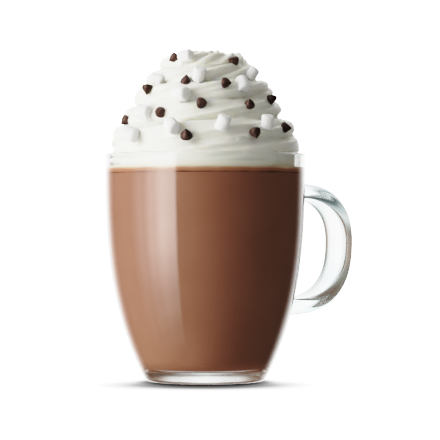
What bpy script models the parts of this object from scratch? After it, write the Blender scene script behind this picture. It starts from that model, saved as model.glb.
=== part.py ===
"""A caffe mocha in a clear glass mug, with piped whipped cream, mini marshmallows and chocolate chips.

Metres, +Z up. The origin is the centre of the mug's underside, and the handle points along +X.
A bearing goes counter-clockwise round the mug, seen from above, and starts at the drink's front.
"""

import math
import random

import bmesh
import bpy
from mathutils import Matrix, Vector
from mathutils.bvhtree import BVHTree

# Pieces that touch keep this clearance
GAP = 0.0003

# Glass mug
MUG_HEIGHT = 0.108
RIM_RADIUS = 0.0475
FOOT_TAPER = 0.0193  # how much narrower the outside is at the foot than at the rim
BELLY_POWER = 2.95  # a higher power keeps the wall upright for longer before it curves in
WALL_AT_RIM = 0.0029
WALL_AT_FLOOR = 0.0038
LIP_LAND = 0.0004  # the level top of the lip, between its two round edges
FLOOR_HEIGHT = 0.0066
FLOOR_CORNER = 0.0045
HEEL_RADIUS = 0.0026
HEEL_START = 0.0014  # the height where the wall turns into the heel
ROUND_SIDES = 36

# Handle: a D-shaped bar between two superellipses, each with a centre (distance from the mug's axis,
# height), half sizes (reach, height) and a power
HANDLE_OUTSIDE = ((0.0500, 0.0623), (0.0334, 0.0317), 2.3)
HANDLE_INSIDE = ((0.0500, 0.0627), (0.0277, 0.0243), 2.3)
HANDLE_LEAN = 0.055  # how far the bar leans out for each metre up
HANDLE_WIDTH = 0.015
HANDLE_EDGE = 0.0019
HANDLE_ROOT = 0.034  # the bar is drawn on to here, and what enters the hollow is cut away
HANDLE_STEPS = 13

# Fillings
DRINK_LEVEL = 0.0984
FROTH_LEVEL = 0.1012

# Whipped cream: one star-nozzle rope that winds up and in, on a core. Each row is a point of its run:
# turns from the start, height of the rope's middle, reach of its outside from the axis, half thickness
ROPE_RUN = (
    (0.00, 0.1050, 0.0424, 0.0024),
    (0.25, 0.1058, 0.0438, 0.0040),
    (1.00, 0.1112, 0.0451, 0.0052),
    (1.50, 0.1148, 0.0452, 0.0056),
    (2.00, 0.1190, 0.0428, 0.0059),
    (3.00, 0.1285, 0.0362, 0.0061),
    (4.00, 0.1373, 0.0324, 0.0060),
    (5.00, 0.1452, 0.0246, 0.0058),
    (6.00, 0.1500, 0.0200, 0.0056),
    (6.50, 0.1510, 0.0146, 0.0053),
    (6.90, 0.1527, 0.0124, 0.0041),
    (7.00, 0.1537, 0.0114, 0.0021),
)
ROPE_START = 90.0  # bearing
ROPE_STEPS = 24  # a turn
ROPE_RIDGES = 7
RIDGE_DEPTH = 0.22  # share of the half thickness
RIDGE_TWIST = 1.15  # how often the ridges wind round the rope in a turn
ROPE_SUNK_START = 0.5  # a turn's first ring, in the turn before, and its last, in the next, are smaller
ROPE_SUNK_END = 0.97
CORE_FOOT = 0.0424
CORE_SINK = 0.0010  # the core stays this far inside the rope's middle line
CORE_TOP_TURNS = 6.5

# Toppings
MARSHMALLOW_RADIUS = 0.0034
MARSHMALLOW_LENGTH = 0.0076
MARSHMALLOW_EDGE = 0.0009
MARSHMALLOW_SIDES = 10
CHIP_RADIUS = 0.0025
CHIP_HEIGHT = 0.0044
CHIP_SIDES = 8
CHIP_PROFILE = ((0.28, 0.86), (0.78, 0.58), (1.00, 0.20), (0.86, 0.00))  # shares of radius and height
TOPPING_SINK = 0.55  # share of the radius
SLOPE_REACH = 0.0030  # the slope that a topping rests on is taken over this distance
TOPPING_ROOM = 0.0010  # between the balls that two toppings fill, where they are scattered

# The toppings of the front. Each row says where a level look meets the cream: the bearing it comes
# from, how far it passes to the right of the mug's axis, and its height. Then come the way the piece's
# axis points as seen in that look, clockwise from up, how far it turns away from the onlooker, and
# the piece's size against the largest.
MARSHMALLOWS = (
    (0, -0.0085, 0.1520, 80, 60, 0.85),
    (0, -0.0026, 0.1435, 15, 55, 0.85),
    (0, -0.0202, 0.1402, 110, 60, 0.85),
    (0, -0.0103, 0.1344, 95, 45, 1.00),
    (0, -0.0271, 0.1262, 100, 50, 0.95),
    (0, -0.0143, 0.1184, 140, 40, 0.95),
    (0, -0.0329, 0.1163, 115, 60, 1.00),
    (0, 0.0080, 0.1198, 20, 70, 0.90),
    (0, 0.0274, 0.1201, 8, 75, 0.85),
    (0, 0.0171, 0.1387, 160, 60, 0.88),
    (56, 0.0000, 0.1448, 30, 60, 0.80),
    (126, 0.0000, 0.1522, 60, 60, 0.75),
)
CHIPS = (
    (0, -0.0143, 0.1511, 240, 70, 0.95),
    (0, 0.0121, 0.1506, 285, 60, 1.00),
    (0, -0.0085, 0.1407, 5, 70, 0.95),
    (0, 0.0101, 0.1388, 95, 65, 0.95),
    (0, -0.0257, 0.1363, 185, 75, 1.00),
    (0, -0.0005, 0.1290, 90, 55, 1.00),
    (0, 0.0199, 0.1298, 0, 50, 0.95),
    (0, 0.0299, 0.1314, 185, 75, 0.95),
    (0, -0.0196, 0.1259, 0, 8, 1.00),
    (0, -0.0360, 0.1234, 230, 75, 0.95),
    (0, -0.0082, 0.1162, 355, 55, 1.05),
    (0, 0.0224, 0.1163, 165, 65, 1.05),
    (0, 0.0368, 0.1189, 100, 70, 1.00),
)

# The other side's toppings are scattered by a rule
SCATTER_SEED = 7
SCATTER_BEARINGS = (114, 244)
SCATTER_HEIGHTS = (0.1135, 0.1515)
SCATTER_SIZES = (0.82, 1.0)
SCATTERED_MARSHMALLOWS = 8
SCATTERED_CHIPS = 9

FRONT_ANGLE = -125.0  # where bearing 0 lies, in degrees from +X
UP = Vector((0, 0, 1))


def main():
    clear_scene()
    parts = new_collection("caffe_mocha")
    helpers = new_collection("helpers")

    glass = material("clear_glass", (0.92, 0.96, 0.95, 1), 0.02)
    mocha = material("mocha", (0.22, 0.095, 0.05, 1), 0.35)
    melted = material("melted_cream", (0.45, 0.26, 0.15, 1), 0.5)
    dairy = material("whipped_cream", (0.92, 0.91, 0.85, 1), 0.55)
    gelatine_foam = material("marshmallow", (0.90, 0.89, 0.88, 1), 0.8)
    chocolate = material("dark_chocolate", (0.075, 0.032, 0.022, 1), 0.35)

    make_mug(parts, helpers, glass)
    make_drink(parts, mocha)
    make_froth(parts, melted)
    cream = make_cream(parts, helpers, dairy)
    add_toppings(parts, cream, gelatine_foam, chocolate)


def clear_scene():
    for obj in list(bpy.data.objects):
        bpy.data.objects.remove(obj)


def new_collection(name):
    collection = bpy.data.collections.new(name)
    bpy.context.scene.collection.children.link(collection)
    return collection


def material(name, colour, roughness, metallic=0.0):
    made = bpy.data.materials.new(name)
    made.use_nodes = True
    shader = made.node_tree.nodes["Principled BSDF"]
    shader.inputs["Base Color"].default_value = colour
    shader.inputs["Roughness"].default_value = roughness
    shader.inputs["Metallic"].default_value = metallic
    return made


def add_object(name, data, collection):
    obj = bpy.data.objects.new(name, data)
    collection.objects.link(obj)
    return obj


def turned(name, profile, collection, sides=ROUND_SIDES):
    """A solid of revolution. The profile, as (distance from the axis, height), runs down the outside."""
    mesh = bpy.data.meshes.new(name)
    edges = [(i, i + 1) for i in range(len(profile) - 1)]
    mesh.from_pydata([(across, 0, up) for across, up in profile], edges, [])
    obj = add_object(name, mesh, collection)
    turn = obj.modifiers.new("turn", "SCREW")
    turn.steps = sides
    turn.render_steps = sides
    turn.use_merge_vertices = True
    turn.merge_threshold = 0.00001
    return obj


def combine(obj, operation, other, solver="EXACT"):
    """A Boolean modifier with an object, or with all of a collection."""
    step = obj.modifiers.new(operation.lower(), "BOOLEAN")
    step.operation = operation
    step.solver = solver
    if isinstance(other, bpy.types.Collection):
        step.operand_type = "COLLECTION"
        step.collection = other
    else:
        step.object = other


def settled(obj):
    """The object as it evaluates now, as a plain mesh object with the same name and place."""
    bpy.context.view_layer.update()
    evaluated = obj.evaluated_get(bpy.context.evaluated_depsgraph_get())
    mesh = bpy.data.meshes.new_from_object(evaluated)
    name = obj.name
    collection = obj.users_collection[0]
    place = obj.matrix_world.copy()
    bpy.data.objects.remove(obj)
    result = add_object(name, mesh, collection)
    result.matrix_world = place
    return result


def finish_round(obj, finish, sharp=35):
    obj.data.materials.clear()
    obj.data.materials.append(finish)
    obj.data.shade_smooth()
    obj.data.set_sharp_from_angle(angle=math.radians(sharp))


# Glass mug and what fills it


def outer_radius(height):
    return RIM_RADIUS - FOOT_TAPER * (1 - height / MUG_HEIGHT) ** BELLY_POWER


def inner_radius(height):
    down = (1 - height / MUG_HEIGHT) ** 2
    return outer_radius(height) - WALL_AT_RIM - (WALL_AT_FLOOR - WALL_AT_RIM) * down


def wall_heights(top, bottom, steps):
    """Heights down a wall, closer together towards the foot, where it curves most."""
    return [bottom + (top - bottom) * (1 - i / steps) ** 1.4 for i in range(steps + 1)]


def arc(centre, radius, start, end, steps):
    """Points round a centre, with angles in degrees up from the outward direction."""
    angles = [math.radians(start + (end - start) * i / steps) for i in range(steps + 1)]
    return [(centre[0] + radius * math.cos(a), centre[1] + radius * math.sin(a)) for a in angles]


def lip_radius():
    return (WALL_AT_RIM - LIP_LAND) / 2


def outer_profile():
    lip = lip_radius()
    lip_arc = arc((RIM_RADIUS - lip, MUG_HEIGHT - lip), lip, 90, 0, 2)
    wall = [(outer_radius(z), z) for z in wall_heights(MUG_HEIGHT - 2 * lip, HEEL_START, 9)]
    heel_angle = math.degrees(math.asin(HEEL_START / HEEL_RADIUS - 1))
    heel_centre = (outer_radius(HEEL_START) - HEEL_RADIUS * math.cos(math.radians(heel_angle)), HEEL_RADIUS)
    heel = arc(heel_centre, HEEL_RADIUS, heel_angle, -90, 3)[1:]
    return [(0, MUG_HEIGHT)] + lip_arc + wall + heel + [(0, 0)]


def hollow_profile(top, clearance=0.0):
    """The hollow's wall and floor, from a height down, and inset by a clearance."""
    floor = FLOOR_HEIGHT + clearance
    wall = [(inner_radius(z) - clearance, z) for z in wall_heights(top, floor + FLOOR_CORNER, 6)]
    corner = []
    for angle in (60, 30, 0):
        z = floor + FLOOR_CORNER * (1 - math.cos(math.radians(angle)))
        inset = FLOOR_CORNER * (1 - math.sin(math.radians(angle)))
        corner.append((inner_radius(z) - clearance - inset, z))
    return wall + corner + [(0, floor)]


def make_mug(parts, helpers, finish):
    lip = lip_radius()
    inner_rim = RIM_RADIUS - WALL_AT_RIM
    above = MUG_HEIGHT + lip
    opening = [(0, above), (inner_rim + lip, above)]
    opening += arc((inner_rim + lip, MUG_HEIGHT - lip), lip, 90, 180, 2)
    hollow = turned("hollow", opening + hollow_profile(MUG_HEIGHT - 2 * lip), helpers)
    handle = make_handle(helpers)
    mug = turned("mug", outer_profile(), parts)
    combine(mug, "UNION", handle)
    combine(mug, "DIFFERENCE", hollow)
    mug = settled(mug)
    finish_round(mug, finish)
    bpy.data.objects.remove(handle)
    bpy.data.objects.remove(hollow)


def superellipse(shape, steps):
    """The outer half of a superellipse from top to bottom, as (distance from the axis, height)."""
    (across, up), (reach, rise), power = shape
    points = []
    for i in range(steps + 1):
        angle = math.pi / 2 - math.pi * i / steps
        out = reach * abs(math.cos(angle)) ** (2 / power)
        climb = math.copysign(rise * abs(math.sin(angle)) ** (2 / power), math.sin(angle))
        points.append((across + out + HANDLE_LEAN * climb, up + climb))
    return points


def make_handle(helpers):
    outside = superellipse(HANDLE_OUTSIDE, HANDLE_STEPS)
    inside = superellipse(HANDLE_INSIDE, HANDLE_STEPS)
    outline = [(HANDLE_ROOT, outside[0][1])] + outside + [(HANDLE_ROOT, outside[-1][1])]
    outline += [(HANDLE_ROOT, inside[-1][1])] + inside[::-1] + [(HANDLE_ROOT, inside[0][1])]
    curve = bpy.data.curves.new("handle", "CURVE")
    curve.dimensions = "2D"
    curve.fill_mode = "BOTH"
    curve.extrude = HANDLE_WIDTH / 2
    spline = curve.splines.new("POLY")
    spline.points.add(len(outline) - 1)
    for point, (across, up) in zip(spline.points, outline):
        point.co = (across, up, 0, 1)
    spline.use_cyclic_u = True
    handle = add_object("handle", curve, helpers)
    handle.rotation_euler = (math.pi / 2, 0, 0)
    handle = settled(handle)
    form = bmesh.new()
    form.from_mesh(handle.data)
    bmesh.ops.remove_doubles(form, verts=form.verts, dist=0.000001)
    bmesh.ops.dissolve_limit(form, angle_limit=0.01, verts=form.verts, edges=form.edges)
    bmesh.ops.recalc_face_normals(form, faces=form.faces)
    form.to_mesh(handle.data)
    form.free()
    edge = handle.modifiers.new("edge", "BEVEL")
    edge.width = HANDLE_EDGE
    edge.segments = 2
    edge.limit_method = "ANGLE"
    edge.angle_limit = math.radians(60)
    return handle


def make_drink(parts, finish):
    top = DRINK_LEVEL
    drink = turned("drink", [(0, top)] + hollow_profile(top, GAP), parts)
    finish_round(settled(drink), finish)


def make_froth(parts, finish):
    """The tan band where cream melts into the drink."""
    top = FROTH_LEVEL
    bottom = DRINK_LEVEL + GAP
    reach = inner_radius(bottom) - GAP
    froth = turned("froth", [(0, top), (reach, top), (reach, bottom), (0, bottom)], parts)
    finish_round(settled(froth), finish)


# Whipped cream


def rope_at(turns):
    """Height, reach and half thickness of the rope, on a smooth curve through the run's rows."""
    last = len(ROPE_RUN) - 2
    row = max(i for i in range(last + 1) if i == 0 or ROPE_RUN[i][0] <= turns)
    start, end = ROPE_RUN[row], ROPE_RUN[row + 1]
    before = ROPE_RUN[max(row - 1, 0)]
    after = ROPE_RUN[min(row + 2, last + 1)]
    span = end[0] - start[0]
    t = (turns - start[0]) / span
    values = []
    for k in (1, 2, 3):
        leave = (end[k] - before[k]) / (end[0] - before[0]) * span
        arrive = (after[k] - start[k]) / (after[0] - start[0]) * span
        ends = (2 * t**3 - 3 * t**2 + 1) * start[k] + (3 * t**2 - 2 * t**3) * end[k]
        slopes = (t**3 - 2 * t**2 + t) * leave + (t**3 - t**2) * arrive
        values.append(ends + slopes)
    return values


def round_the_mug(bearing):
    """The level direction at a bearing."""
    angle = math.radians(FRONT_ANGLE + bearing)
    return Vector((math.cos(angle), math.sin(angle), 0))


def make_rope(helpers):
    """The whole rope as an open tube, whose vertices come ring by ring."""
    star = bpy.data.curves.new("star", "CURVE")
    star.dimensions = "2D"
    outline = star.splines.new("POLY")
    outline.points.add(2 * ROPE_RIDGES - 1)
    outline.use_cyclic_u = True
    for i, point in enumerate(outline.points):
        reach = 1 - RIDGE_DEPTH * (i % 2)
        angle = -math.pi * i / ROPE_RIDGES
        point.co = (reach * math.cos(angle), reach * math.sin(angle), 0, 1)
    nozzle = add_object("nozzle", star, helpers)

    curve = bpy.data.curves.new("rope", "CURVE")
    curve.dimensions = "3D"
    curve.bevel_mode = "OBJECT"
    curve.bevel_object = nozzle
    curve.twist_mode = "Z_UP"
    spline = curve.splines.new("POLY")
    steps = round(ROPE_RUN[-1][0] * ROPE_STEPS)
    spline.points.add(steps)
    for i, point in enumerate(spline.points):
        turns = i / ROPE_STEPS
        height, reach, half = rope_at(turns)
        middle = round_the_mug(ROPE_START + 360 * turns) * (reach - half)
        point.co = (middle.x, middle.y, height, 1)
        point.radius = half
        point.tilt = -math.tau * RIDGE_TWIST * turns
    rope = settled(add_object("rope", curve, helpers))
    bpy.data.objects.remove(nozzle)
    return rope


def add_rope_turn(rope, turn, collection):
    """One turn of the rope as a closed solid, with its start sunk in the end of the turn before."""
    sides = 2 * ROPE_RIDGES
    first = turn * ROPE_STEPS
    last = first + ROPE_STEPS + 1
    form = bmesh.new()
    form.from_mesh(rope.data)
    form.verts.ensure_lookup_table()
    if turn > 0:
        resize_ring(form.verts[first * sides : (first + 1) * sides], ROPE_SUNK_START)
    resize_ring(form.verts[last * sides : (last + 1) * sides], ROPE_SUNK_END)
    outside = [v for v in form.verts if not first <= v.index // sides <= last]
    bmesh.ops.delete(form, geom=outside, context="VERTS")
    bmesh.ops.holes_fill(form, edges=form.edges)
    bmesh.ops.recalc_face_normals(form, faces=form.faces)
    bmesh.ops.triangulate(form, faces=form.faces)
    mesh = bpy.data.meshes.new("rope_turn")
    form.to_mesh(mesh)
    form.free()
    add_object("rope_turn", mesh, collection)


def resize_ring(verts, share):
    if not verts:
        return
    middle = sum((v.co for v in verts), Vector()) / len(verts)
    for v in verts:
        v.co = middle + (v.co - middle) * share


def core_profile():
    profile = []
    turns = CORE_TOP_TURNS
    while turns >= 1:
        height, reach, half = rope_at(turns)
        profile.append((reach - half - CORE_SINK, height))
        turns -= 0.5
    base = FROTH_LEVEL + GAP
    start_height = ROPE_RUN[0][1]
    top = profile[0][1]
    return [(0, top)] + profile + [(CORE_FOOT, start_height), (CORE_FOOT, base), (0, base)]


def keep_outer_shell(obj):
    """Fill sealed hollows and drop loose scraps: only the shell with the most faces stays."""
    form = bmesh.new()
    form.from_mesh(obj.data)
    bmesh.ops.triangulate(form, faces=form.faces)
    unseen = set(form.faces)
    shells = []
    while unseen:
        shell = {unseen.pop()}
        front = list(shell)
        while front:
            face = front.pop()
            for edge in face.edges:
                for other in edge.link_faces:
                    if other not in shell:
                        shell.add(other)
                        front.append(other)
        unseen -= shell
        shells.append(shell)
    largest = max(shells, key=len)
    bmesh.ops.delete(form, geom=[face for face in form.faces if face not in largest], context="FACES")
    form.to_mesh(obj.data)
    form.free()


def make_cream(parts, helpers, finish):
    rope = make_rope(helpers)
    turns = new_collection("rope_turns")
    for turn in range(round(ROPE_RUN[-1][0])):
        add_rope_turn(rope, turn, turns)
    bpy.data.objects.remove(rope)
    cream = turned("cream", core_profile(), parts)
    combine(cream, "UNION", turns)
    cream = settled(cream)
    for obj in list(turns.objects):
        bpy.data.objects.remove(obj)
    keep_outer_shell(cream)
    finish_round(cream, finish, sharp=60)
    return cream


# Toppings


def marshmallow_mesh(finish):
    half = MARSHMALLOW_LENGTH / 2
    inner = MARSHMALLOW_RADIUS - MARSHMALLOW_EDGE
    shoulder = half - MARSHMALLOW_EDGE
    upper = [(0, half), (inner, half), (MARSHMALLOW_RADIUS, shoulder)]
    lower = [(across, -up) for across, up in reversed(upper)]
    return turned_mesh("marshmallow", upper + lower, MARSHMALLOW_SIDES, finish)


def marshmallow_pocket():
    radius = MARSHMALLOW_RADIUS + GAP
    half = MARSHMALLOW_LENGTH / 2 + GAP
    profile = [(0, half), (radius, half), (radius, -half), (0, -half)]
    return turned_mesh("pocket", profile, MARSHMALLOW_SIDES)


def chip_sides(clearance=0.0):
    """The profile's points between the tip and the base, about the middle of the height."""
    return [(CHIP_RADIUS * out + clearance, CHIP_HEIGHT * (up - 0.5)) for out, up in CHIP_PROFILE]


def chip_mesh(finish):
    half = CHIP_HEIGHT / 2
    return turned_mesh("chip", [(0, half)] + chip_sides() + [(0, -half)], CHIP_SIDES, finish)


def chip_pocket():
    """A plainer shape round the chip: a cone on a short cylinder."""
    half = CHIP_HEIGHT / 2
    _, shoulder, belly, _ = chip_sides(GAP)
    profile = [(0, half + 3 * GAP), shoulder, belly, (belly[0], -half - GAP), (0, -half - GAP)]
    return turned_mesh("pocket", profile, CHIP_SIDES)


def turned_mesh(name, profile, sides, finish=None):
    """A turned solid's mesh, for many objects to share."""
    collection = new_collection(name)
    obj = settled(turned(name, profile, collection, sides))
    if finish:
        finish_round(obj, finish)
    mesh = obj.data
    bpy.data.objects.remove(obj)
    bpy.data.collections.remove(collection)
    return mesh


def resting_place(surface, row, radius, length):
    """Where a topping lies on the cream, as a matrix, from a row as described above."""
    bearing, across, height, clock, facing, size = row
    toward = round_the_mug(bearing)
    right = UP.cross(toward)
    start = toward * 2 * RIM_RADIUS + right * across + UP * height
    point = surface.ray_cast(start, -toward)[0]
    if point is None:
        raise ValueError(f"No cream at {row}")
    near = surface.find_nearest_range(point, SLOPE_REACH)
    outward = sum((normal for _, normal, _, _ in near), Vector()).normalized()
    clock, facing = math.radians(clock), math.radians(facing)
    across_view = right * math.sin(clock) + UP * math.cos(clock)
    axis = across_view * math.sin(facing) + toward * math.cos(facing)
    lean = abs(axis.dot(outward))
    stand = radius * (math.sqrt(max(0, 1 - lean * lean)) - TOPPING_SINK) + length / 2 * lean
    turn = axis.to_track_quat("Z", "Y").to_matrix().to_4x4()
    return Matrix.Translation(point + outward * stand * size) @ turn @ Matrix.Scale(size, 4)


def scatter(surface, count, radius, length, chance, taken):
    """Places on the hidden side that keep clear of every piece in taken, to which they are added."""
    ball = max(radius, length / 2)
    places = []
    while len(places) < count:
        bearing = chance.uniform(*SCATTER_BEARINGS)
        height = chance.uniform(*SCATTER_HEIGHTS)
        clock = chance.uniform(0, 360)
        facing = chance.uniform(20, 85)
        row = (bearing, 0, height, clock, facing, chance.uniform(*SCATTER_SIZES))
        place = resting_place(surface, row, radius, length)
        middle = place.translation
        if all((middle - other).length > ball + reach + TOPPING_ROOM for other, reach in taken):
            taken.append((middle, ball))
            places.append(place)
    return places


def add_toppings(parts, cream, marshmallow_finish, chip_finish):
    """Lay the toppings on the cream, each in a pocket of its own."""
    form = bmesh.new()
    form.from_mesh(cream.data)
    surface = BVHTree.FromBMesh(form)
    form.free()
    kinds = (
        ("marshmallow", MARSHMALLOW_RADIUS, MARSHMALLOW_LENGTH, MARSHMALLOWS, SCATTERED_MARSHMALLOWS),
        ("chip", CHIP_RADIUS, CHIP_HEIGHT, CHIPS, SCATTERED_CHIPS),
    )
    places = {}
    taken = []
    for name, radius, length, rows, _ in kinds:
        places[name] = [resting_place(surface, row, radius, length) for row in rows]
        taken += [(place.translation, max(radius, length / 2)) for place in places[name]]
    chance = random.Random(SCATTER_SEED)
    for name, radius, length, _, count in kinds:
        places[name] += scatter(surface, count, radius, length, chance, taken)

    meshes = {
        "marshmallow": (marshmallow_mesh(marshmallow_finish), marshmallow_pocket()),
        "chip": (chip_mesh(chip_finish), chip_pocket()),
    }
    pockets = new_collection("pockets")
    for name, (mesh, pocket) in meshes.items():
        for number, place in enumerate(places[name], 1):
            add_object(f"{name}_{number:02}", mesh, parts).matrix_world = place
            add_object("pocket", pocket, pockets).matrix_world = place
    finish = cream.data.materials[0]
    combine(cream, "DIFFERENCE", pockets)
    cream = settled(cream)
    for obj in list(pockets.objects):
        bpy.data.objects.remove(obj)
    keep_outer_shell(cream)
    finish_round(cream, finish, sharp=60)


if __name__ == "__main__":
    main()
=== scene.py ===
"""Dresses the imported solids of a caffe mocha: glass mug, drink, whipped cream and toppings.

Laid out as an add-on and run as a script. Metres, +Z up. The origin is the centre of the mug's underside and
the handle points along +X. A bearing goes counter-clockwise round the mug and starts at the drink's front.
"""

import math
import random

import bmesh
import bpy
import numpy as np
from mathutils import Matrix, Vector, noise
from mathutils.bvhtree import BVHTree


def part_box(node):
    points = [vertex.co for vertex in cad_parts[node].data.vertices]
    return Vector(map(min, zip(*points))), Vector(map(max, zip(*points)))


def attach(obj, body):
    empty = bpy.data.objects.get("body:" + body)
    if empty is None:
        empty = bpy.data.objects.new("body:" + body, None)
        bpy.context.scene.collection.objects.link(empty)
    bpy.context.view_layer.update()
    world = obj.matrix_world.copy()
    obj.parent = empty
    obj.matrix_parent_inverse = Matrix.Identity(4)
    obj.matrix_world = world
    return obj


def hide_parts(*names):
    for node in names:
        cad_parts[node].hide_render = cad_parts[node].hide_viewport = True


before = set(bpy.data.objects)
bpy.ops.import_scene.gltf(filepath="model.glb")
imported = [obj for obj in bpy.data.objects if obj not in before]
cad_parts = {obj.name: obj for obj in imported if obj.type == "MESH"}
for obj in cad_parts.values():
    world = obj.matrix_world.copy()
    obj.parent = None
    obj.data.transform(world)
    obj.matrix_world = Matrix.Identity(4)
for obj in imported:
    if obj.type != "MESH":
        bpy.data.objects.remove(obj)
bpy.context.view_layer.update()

bl_info = {
    "name": "Caffe Mocha",
    "version": (1, 0, 0),
    "blender": (4, 5, 0),
    "location": "3D View > Sidebar > Mocha",
    "description": "A glass mug of mocha with a piped cream swirl, mini marshmallows and chocolate chips",
    "category": "Add Mesh",
}

BODY = "root"
UP = Vector((0, 0, 1))
WHITE = (1, 1, 1)
FRONT_ANGLE = -125.0  # where bearing 0 lies, in degrees from +X
OVERLAP = 0.00015  # how far what fills the glass reaches into its wall
CLEARANCE = 0.00001  # between the drink and the melt band
MELT_DIP = 0.0002  # how far below the drink's level the melt's colours start
MELT_SWAY = 0.0008
SOAKED = (0.1010, 0.1045)  # heights between which the coffee stain in the cream fades
SIDES = 144  # round the mug and what fills it
WELD = 0.000005  # turned points nearer than this become one

# Glass mug
BELLY_POWER = 2.95
RING_BUNCHING = 1.4  # how much closer the wall's rings lie towards the foot
OUTER_STEPS = 56
INNER_STEPS = 52
ROUND_STEPS = 10  # over the lip and round the heel
EDGE_STEPS = 7  # round an edge of the handle or a marshmallow
FLOOR_CORNER = 0.0045
HEEL_RADIUS = 0.0026
HEEL_START = 0.0014
FOOT_LAND = 0.0012  # width of the ring that the mug stands on
PUNT_RADIUS = 0.0165  # of the recess's flat middle
PUNT_DEPTH = 0.0009
CURVE_STEPS = 12  # over the recess under the foot and round the floor's corner
LIP_LAND = 0.0002

# The handle's outside and its opening: middle and height, reach and rise, power of the superellipse
HANDLE_OUTSIDE = ((0.0500, 0.0623), (0.0333, 0.0317), 2.35)
HANDLE_INSIDE = ((0.0500, 0.0627), (0.0275, 0.0243), 2.45)
HANDLE_LEAN = 0.055
HANDLE_ROOT = 0.036
HANDLE_STEPS = 88
HANDLE_SPREAD = 0.0016  # how much wider the bar gets where it meets the wall
HANDLE_SPREAD_REACH = 0.0022

# Cream: turns from the start, height of the rope's middle, reach of its outside, half thickness
ROPE_RUN = (
    (0.00, 0.1050, 0.0424, 0.0024),
    (0.25, 0.1058, 0.0438, 0.0040),
    (1.00, 0.1112, 0.0451, 0.0052),
    (1.50, 0.1148, 0.0452, 0.0056),
    (2.00, 0.1190, 0.0428, 0.0059),
    (3.00, 0.1285, 0.0362, 0.0061),
    (4.00, 0.1373, 0.0324, 0.0060),
    (5.00, 0.1452, 0.0246, 0.0058),
    (6.00, 0.1500, 0.0200, 0.0056),
    (6.50, 0.1510, 0.0146, 0.0053),
    (6.90, 0.1527, 0.0124, 0.0041),
    (7.00, 0.1537, 0.0114, 0.0021),
)
ROPE_START = 90.0  # bearing
ROPE_STEPS = 110  # a turn
ROPE_SHIFT = 0.0003  # how far the rope wanders up, down, in and out
ROPE_THROB = 0.035  # share by which its thickness wanders
RIDGE_POINTS = 12  # points round the rope for each ridge
RIDGE_TWIST = 1.15
RIDGE_SWAY = 0.10
RIDGE_UNEVEN = 0.45  # share by which one groove differs from the next
RIDGE_SWELL = 0.03
TOP_TWIST = 0.28  # the ridges lean more on the top tiers
TOP_TWIST_START = 4.0
RIDGE_DEPTH_TURNS = (1.0, 2.5, 3.5, 5.0)
RIDGE_DEPTH_SHARES = (0.5, 0.6, 0.8, 1.0)
DRAG_DEPTH = 0.18  # share of the rope's half thickness
DRAG_WAVES = 3.2  # makes them about 2 mm apart
DRAG_PACE = 2.0  # a turn
CORE_LEDGE = 0.1072  # the cream fills the glass to here, under the rope
CORE_FOOT = 0.0452  # beyond the wall, and then pressed back to it
CORE_SINK = 0.0010  # how far the rope overlaps the core
CORE_DIP = 0.0004  # into the melt band
CORE_TOP_TURNS = 6.5
CORE_TURN_STEP = 0.25
CORE_SIDES = 96
FOOT_GAP = 0.0027  # between the cream and the wall on the right
FOOT_GAP_BEARING = 78.0
FOOT_GAP_SPREAD = 62.0
FOOT_GAP_TOP = 0.1077
FOOT_GAP_FROM = 0.040  # reach of the cream that gives way
DENT_DEPTH = 0.00022
DENT_WAVES = 140.0  # a metre
STREAK_DEPTH = 0.00013
STREAK_WAVES = Vector((3.0, 500.0, 800.0))  # round the mug, and for each metre out and up
PRESS = 0.0007  # cream this near to the wall is pressed flat against it
GROOVES_FROM = 0.1022  # height above which grooves are dragged round the pressed cream
GROOVE_DEPTH = 0.0020
GROOVE_TILT = 0.035
GROOVE_WAVES = (38.0, 480.0)  # a metre, across and up

# Toppings
MARSHMALLOWS = sorted(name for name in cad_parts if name.startswith("marshmallow_"))
CHIPS = sorted(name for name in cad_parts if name.startswith("chip_"))
END_SLICE = 0.0003  # a solid's two ends are compared over this much
MARSHMALLOW_LIFT = 0.0013  # the middle lies at least this far out of the cream
MARSHMALLOW_EXTENT = 0.0076  # of the largest solid, along its axis
MARSHMALLOW_SIDES = 40
MARSHMALLOW_EDGE = (0.34, 0.46)  # least and most, as a share of the radius
MARSHMALLOW_SQUASH = (0.90, 1.0)
CHIP_LIFT = 0.0009
CHIP_EXTENT = 0.0044
CHIP_SIDES = 32
CHIP_BELLY = (0.96, 1.04)
CHIP_LEAN = (0.00024, 0.00132)
# Share of the radius and depth below the end, then share of the radius and of the half length
CUT_FACE = ((0.0, 0.00018), (0.3, 0.00012), (0.5, 0.00002))
WAIST = ((0.99, 0.3), (0.985, 0.0))
CHIP_PROFILE = (
    (0.00, 1.00), (0.08, 0.985), (0.17, 0.93), (0.28, 0.85), (0.42, 0.76), (0.57, 0.66), (0.72, 0.55),
    (0.85, 0.43), (0.95, 0.30), (1.00, 0.18), (0.99, 0.08), (0.94, 0.02), (0.86, 0.00), (0.00, 0.01),
)
# Waves a metre and depth
MARSHMALLOW_LUMPS = ((330.0, 0.00030), (900.0, 0.00008))
CHIP_LUMPS = ((500.0, 0.00012),)

# Stage
CAMERA_DISTANCE = 1.07
CAMERA_ASIDE = 0.007
CAMERA_HEIGHT = 0.0764
HALF_FRAME = 220 * 0.000476  # half the pixels, by what each spans at the mug
KEY_SIZE = (0.7, 1.25)
KEY_ANGLE = 62  # to the left of the camera
KEY_RISE = 0.1
KEY_DISTANCE = 1.1
FRONT_CARD = (0.60, 0.72, 0.74)  # light that the handle and the foot pick up from the front
WING_CARD = (0.56, 0.465, 0.405)
TABLE_HALF_SIZE = 20.0
TABLE_DROP = 0.0002
FILM_WHITE = 4.0
FILM_CURVE = (
    (0.05, 0.014), (0.10, 0.042), (0.14, 0.080), (0.20, 0.150), (0.28, 0.245), (0.40, 0.365), (0.60, 0.560),
    (0.80, 0.715), (1.00, 0.810), (1.30, 0.880), (1.80, 0.940), (2.60, 0.985),
)

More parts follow.
